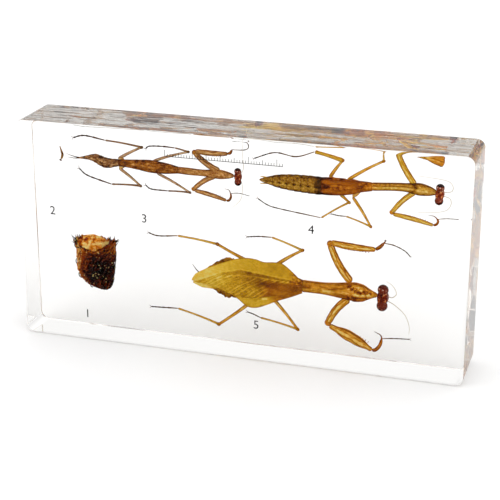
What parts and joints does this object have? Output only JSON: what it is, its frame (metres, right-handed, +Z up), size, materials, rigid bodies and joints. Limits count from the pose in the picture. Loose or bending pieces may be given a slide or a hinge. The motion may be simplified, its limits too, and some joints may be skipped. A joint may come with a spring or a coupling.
{
  "type": "insect in resin block",
  "caption": "Clear rounded resin block standing on its long edge, with mantis life stages and an egg case sealed inside, each beside a plain number.",
  "frame": {"origin": "centre of the long narrow face that the block stands on", "axes": "+X along the block's length, towards the end that the insects' heads point to; +Y through its thickness, with the front face at -Y; +Z up"},
  "size_m": [0.16, 0.023, 0.08],
  "materials": {
    "resin": "polished clear cast resin"
  },
  "bodies": {
    "root": {"resin_block": "resin"}
  },
  "joints": []
}
